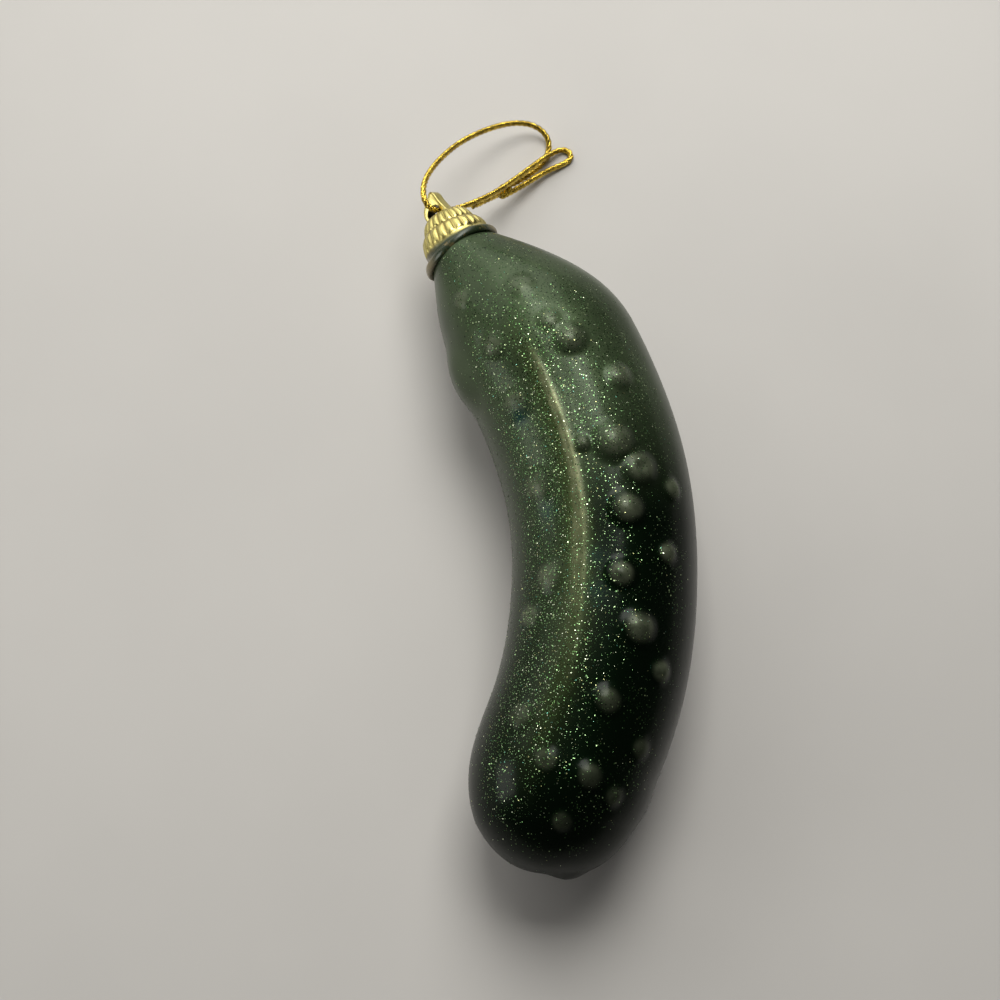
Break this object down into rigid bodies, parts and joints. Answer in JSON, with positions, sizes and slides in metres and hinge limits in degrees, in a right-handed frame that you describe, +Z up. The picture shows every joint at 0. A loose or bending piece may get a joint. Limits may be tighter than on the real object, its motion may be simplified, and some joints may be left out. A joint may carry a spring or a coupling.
{
  "type": "pickle ornament",
  "caption": "Hanging tree ornament shaped like a bent gherkin: a hollow glossy green shell with warts, a gold crown cap and a loop of gold cord.",
  "frame": {"origin": "on the table, under the middle of the box of the shell and cap", "axes": "+Y from the round end to the cap, +X to the outside of the bend, +Z up from the table that the pickle lies on"},
  "size_m": [0.0459, 0.1353, 0.0321],
  "materials": {
    "green_lacquer": "dark green glossy lacquer with fine glitter",
    "gold_cap": "metallised pale gold, worn satin",
    "gold_cord": "twisted metallic gold thread"
  },
  "bodies": {
    "pickle": {"pickle_shell": "green_lacquer"},
    "cap": {"crown_cap": "gold_cap"},
    "hanger": {"cord_front": "gold_cord", "cord_back": "gold_cord", "cord_knot": "gold_cord", "cord_tails": "gold_cord"}
  },
  "joints": [
    {"name": "cap_pull", "type": "slide", "parent": "pickle", "child": "cap", "axis": [-0.4226, 0.9063, 0], "range_m": [0, 0.009]},
    {"name": "hanger_swing", "type": "hinge", "parent": "cap", "child": "hanger", "pos_m": [-0.01949, 0.0542, 0.01591], "axis": [0.6409, 0.2988, -0.7071], "range_deg": [-5, 60]}
  ]
}
